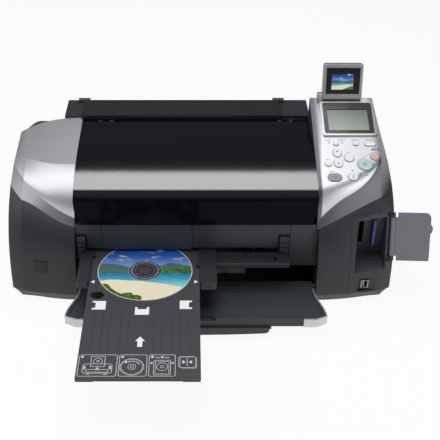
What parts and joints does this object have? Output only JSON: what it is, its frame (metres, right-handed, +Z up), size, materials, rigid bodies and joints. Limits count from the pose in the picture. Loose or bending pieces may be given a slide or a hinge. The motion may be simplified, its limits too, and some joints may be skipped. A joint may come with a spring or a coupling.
{
  "type": "disc label printer",
  "caption": "Desktop photo printer that prints labels on discs: glossy top cover, disc tray on front rails, output tray, tilting monitor, card bay and control panel.",
  "frame": {"origin": "middle of the base pan's flat underside, under the body's centre; the rubber feet stand 2 mm lower", "axes": "+X to the printer's right as seen from the front, +Y to its back, +Z up"},
  "size_m": [0.5482, 0.4556, 0.2649],
  "materials": {
    "back_button": "satin moulded",
    "base_pan": "satin moulded",
    "capping_station": "moulded",
    "card_bay": "fine spark texture",
    "card_door": "satin moulded",
    "carriage": "moulded",
    "carriage_motor": "plated can",
    "carriage_shaft": "ground steel",
    "control_panel_housing": "silver paint, satin",
    "custom_button": "satin moulded",
    "disc": "printable face",
    "disc_guide": "moulded",
    "disc_tray": "satin moulded",
    "down_button": "satin moulded",
    "drive_pulley": "acetal",
    "edge_guide": "moulded",
    "eject_roller": "rubber on shaft",
    "engine_frame": "plated sheet steel",
    "feed_idler": "acetal",
    "feed_motor": "plated can",
    "feed_pinion": "sintered",
    "feed_roller": "grit coated steel",
    "front_fascia": "satin moulded",
    "hopper_plate": "moulded",
    "idler_pulley": "acetal",
    "ink_cartridges": "moulded",
    "lcd_bezel": "satin",
    "lcd_glass": "glare-free glass",
    "left_side_casing": "fine spark texture",
    "left_top_fairing": "silver paint, satin",
    "main_board": "circuit board",
    "maintenance_button": "satin moulded",
    "memory_card": "satin label",
    "mode_button": "satin moulded",
    "monitor_housing": "silver paint",
    "monitor_screen": "gloss screen",
    "ok_button": "satin moulded",
    "options_button": "satin moulded",
    "output_tray": "satin moulded",
    "panel_board": "circuit board",
    "paper_guide": "moulded",
    "paper_support": "satin moulded",
    "pickup_roller": "rubber on shaft",
    "power_button": "satin moulded",
    "power_inlet": "satin",
    "power_supply": "moulded case",
    "rear_casing": "fine spark texture",
    "right_side_casing": "fine spark texture",
    "rubber_feet": "matt rubber",
    "sheet_feeder": "moulded",
    "start_button": "satin moulded",
    "stop_button": "satin moulded",
    "support_extension": "satin moulded",
    "timing_belt": "toothed rubber",
    "top_cover": "high gloss",
    "tray_extension": "satin moulded",
    "tray_trim": "silver paint",
    "up_button": "satin moulded",
    "usb_ports": "plated steel",
    "waste_ink_pad": "felt"
  },
  "bodies": {
    "printer": {"base_pan": "base_pan", "capping_station": "capping_station", "card_bay": "card_bay", "carriage_motor": "carriage_motor", "carriage_shaft": "carriage_shaft", "control_panel_housing": "control_panel_housing", "disc_guide": "disc_guide", "engine_frame": "engine_frame", "feed_motor": "feed_motor", "front_fascia": "front_fascia", "lcd_bezel": "lcd_bezel", "lcd_glass": "lcd_glass", "left_side_casing": "left_side_casing", "left_top_fairing": "left_top_fairing", "main_board": "main_board", "panel_board": "panel_board", "paper_guide": "paper_guide", "power_inlet": "power_inlet", "power_supply": "power_supply", "rear_casing": "rear_casing", "right_side_casing": "right_side_casing", "rubber_feet": "rubber_feet", "sheet_feeder": "sheet_feeder", "timing_belt": "timing_belt", "usb_ports": "usb_ports", "waste_ink_pad": "waste_ink_pad"},
    "cover": {"top_cover": "top_cover"},
    "paper_support": {"paper_support": "paper_support"},
    "support_extension": {"support_extension": "support_extension"},
    "hopper": {"hopper_plate": "hopper_plate"},
    "edge_guide": {"edge_guide": "edge_guide"},
    "pickup_roller": {"pickup_roller": "pickup_roller"},
    "feed_roller": {"feed_roller": "feed_roller"},
    "feed_idler": {"feed_idler": "feed_idler"},
    "feed_pinion": {"feed_pinion": "feed_pinion"},
    "eject_roller": {"eject_roller": "eject_roller"},
    "carriage": {"carriage": "carriage", "ink_cartridges": "ink_cartridges"},
    "drive_pulley": {"drive_pulley": "drive_pulley"},
    "idler_pulley": {"idler_pulley": "idler_pulley"},
    "output_tray": {"output_tray": "output_tray", "tray_trim": "tray_trim"},
    "tray_extension": {"tray_extension": "tray_extension"},
    "disc_tray": {"disc_tray": "disc_tray"},
    "disc": {"disc": "disc"},
    "card_door": {"card_door": "card_door"},
    "memory_card": {"memory_card": "memory_card"},
    "monitor": {"monitor_housing": "monitor_housing", "monitor_screen": "monitor_screen"},
    "back_button": {"back_button": "back_button"},
    "custom_button": {"custom_button": "custom_button"},
    "down_button": {"down_button": "down_button"},
    "maintenance_button": {"maintenance_button": "maintenance_button"},
    "mode_button": {"mode_button": "mode_button"},
    "ok_button": {"ok_button": "ok_button"},
    "options_button": {"options_button": "options_button"},
    "power_button": {"power_button": "power_button"},
    "start_button": {"start_button": "start_button"},
    "stop_button": {"stop_button": "stop_button"},
    "up_button": {"up_button": "up_button"}
  },
  "joints": [
    {"name": "cover_hinge", "type": "hinge", "parent": "printer", "child": "cover", "pos_m": [0, 0.052, 0.176], "axis": [-1, 0, 0], "range_deg": [0, 60]},
    {"name": "paper_support_hinge", "type": "hinge", "parent": "printer", "child": "paper_support", "pos_m": [0, 0.106, 0.1852], "axis": [-1, 0, 0], "range_deg": [0, 110]},
    {"name": "support_extension_slide", "type": "slide", "parent": "paper_support", "child": "support_extension", "axis": [0, -1, 0], "range_m": [0, 0.038]},
    {"name": "hopper_swing", "type": "hinge", "parent": "printer", "child": "hopper", "pos_m": [0, 0.09581, 0.16998], "axis": [-1, 0, 0], "range_deg": [0, 4.5]},
    {"name": "edge_guide_slide", "type": "slide", "parent": "hopper", "child": "edge_guide", "axis": [1, 0, 0], "range_m": [0, 0.118]},
    {"name": "pickup_spin", "type": "hinge", "parent": "printer", "child": "pickup_roller", "pos_m": [0, 0.05199, 0.10574], "axis": [1, 0, 0], "continuous": true},
    {"name": "feed_roller_spin", "type": "hinge", "parent": "printer", "child": "feed_roller", "pos_m": [0, 0.008, 0.0588], "axis": [1, 0, 0], "continuous": true},
    {"name": "feed_idler_spin", "type": "hinge", "parent": "printer", "child": "feed_idler", "pos_m": [0, -0.029, 0.0588], "axis": [1, 0, 0], "continuous": true},
    {"name": "feed_pinion_spin", "type": "hinge", "parent": "printer", "child": "feed_pinion", "pos_m": [0, 0.02939, 0.03741], "axis": [1, 0, 0], "continuous": true},
    {"name": "eject_roller_spin", "type": "hinge", "parent": "printer", "child": "eject_roller", "pos_m": [0, -0.066, 0.0588], "axis": [1, 0, 0], "continuous": true},
    {"name": "carriage_slide", "type": "slide", "parent": "printer", "child": "carriage", "axis": [-1, 0, 0], "range_m": [0, 0.25]},
    {"name": "drive_pulley_spin", "type": "hinge", "parent": "printer", "child": "drive_pulley", "pos_m": [0.156, 0.02, 0.125], "axis": [0, 1, 0], "range_deg": [0, 1666.6]},
    {"name": "idler_pulley_spin", "type": "hinge", "parent": "printer", "child": "idler_pulley", "pos_m": [-0.17, 0.02, 0.125], "axis": [0, 1, 0], "range_deg": [0, 1666.6]},
    {"name": "output_tray_hinge", "type": "hinge", "parent": "printer", "child": "output_tray", "pos_m": [0, -0.108, 0.0215], "axis": [-1, 0, 0], "range_deg": [0, 25]},
    {"name": "tray_extension_slide", "type": "slide", "parent": "output_tray", "child": "tray_extension", "axis": [0, -1, 0], "range_m": [0, 0.06]},
    {"name": "disc_tray_slide", "type": "slide", "parent": "printer", "child": "disc_tray", "axis": [0, 1, 0], "range_m": [-0.085, 0.185]},
    {"name": "disc_lift", "type": "slide", "parent": "disc_tray", "child": "disc", "axis": [0, 0, 1], "range_m": [0, 0.004]},
    {"name": "card_door_hinge", "type": "hinge", "parent": "printer", "child": "card_door", "pos_m": [0.2475, -0.1015, 0.058], "axis": [0, 0.3338, 0.9426], "range_deg": [-160, 0]},
    {"name": "memory_card_slide", "type": "slide", "parent": "printer", "child": "memory_card", "axis": [0, -1, 0], "range_m": [0, 0.026]},
    {"name": "monitor_tilt", "type": "hinge", "parent": "printer", "child": "monitor", "pos_m": [0.163, 0.053, 0.219], "axis": [-1, 0, 0], "range_deg": [-15, 60]},
    {"name": "back_press", "type": "slide", "parent": "printer", "child": "back_button", "axis": [0, 0.3786, -0.9255], "range_m": [0, 0.0008], "stiffness_N_per_m": 400, "springref_m": -0.0005},
    {"name": "custom_press", "type": "slide", "parent": "printer", "child": "custom_button", "axis": [0, 0.3786, -0.9255], "range_m": [0, 0.0008], "stiffness_N_per_m": 400, "springref_m": -0.0005},
    {"name": "down_press", "type": "slide", "parent": "printer", "child": "down_button", "axis": [0, 0.3786, -0.9255], "range_m": [0, 0.0008], "stiffness_N_per_m": 400, "springref_m": -0.0005},
    {"name": "maintenance_press", "type": "slide", "parent": "printer", "child": "maintenance_button", "axis": [0, 0.3786, -0.9255], "range_m": [0, 0.0008], "stiffness_N_per_m": 400, "springref_m": -0.0005},
    {"name": "mode_press", "type": "slide", "parent": "printer", "child": "mode_button", "axis": [0, 0.3786, -0.9255], "range_m": [0, 0.0008], "stiffness_N_per_m": 400, "springref_m": -0.0005},
    {"name": "ok_press", "type": "slide", "parent": "printer", "child": "ok_button", "axis": [0, 0.3786, -0.9255], "range_m": [0, 0.0008], "stiffness_N_per_m": 400, "springref_m": -0.0005},
    {"name": "options_press", "type": "slide", "parent": "printer", "child": "options_button", "axis": [0, 0.3786, -0.9255], "range_m": [0, 0.0008], "stiffness_N_per_m": 400, "springref_m": -0.0005},
    {"name": "power_press", "type": "slide", "parent": "printer", "child": "power_button", "axis": [0, 0.3786, -0.9255], "range_m": [0, 0.0008], "stiffness_N_per_m": 400, "springref_m": -0.0005},
    {"name": "start_press", "type": "slide", "parent": "printer", "child": "start_button", "axis": [0, 0.3786, -0.9255], "range_m": [0, 0.0008], "stiffness_N_per_m": 400, "springref_m": -0.0005},
    {"name": "stop_press", "type": "slide", "parent": "printer", "child": "stop_button", "axis": [0, 0.3786, -0.9255], "range_m": [0, 0.0008], "stiffness_N_per_m": 400, "springref_m": -0.0005},
    {"name": "up_press", "type": "slide", "parent": "printer", "child": "up_button", "axis": [0, 0.3786, -0.9255], "range_m": [0, 0.0008], "stiffness_N_per_m": 400, "springref_m": -0.0005}
  ],
  "couplings": [
    {"joint": "feed_idler_spin", "follows": "feed_roller_spin", "ratio": -1.8462},
    {"joint": "feed_pinion_spin", "follows": "feed_roller_spin", "ratio": -4},
    {"joint": "eject_roller_spin", "follows": "feed_roller_spin", "ratio": 1},
    {"joint": "drive_pulley_spin", "follows": "carriage_slide", "rad_per_m": 116.28},
    {"joint": "idler_pulley_spin", "follows": "carriage_slide", "rad_per_m": 116.28}
  ]
}
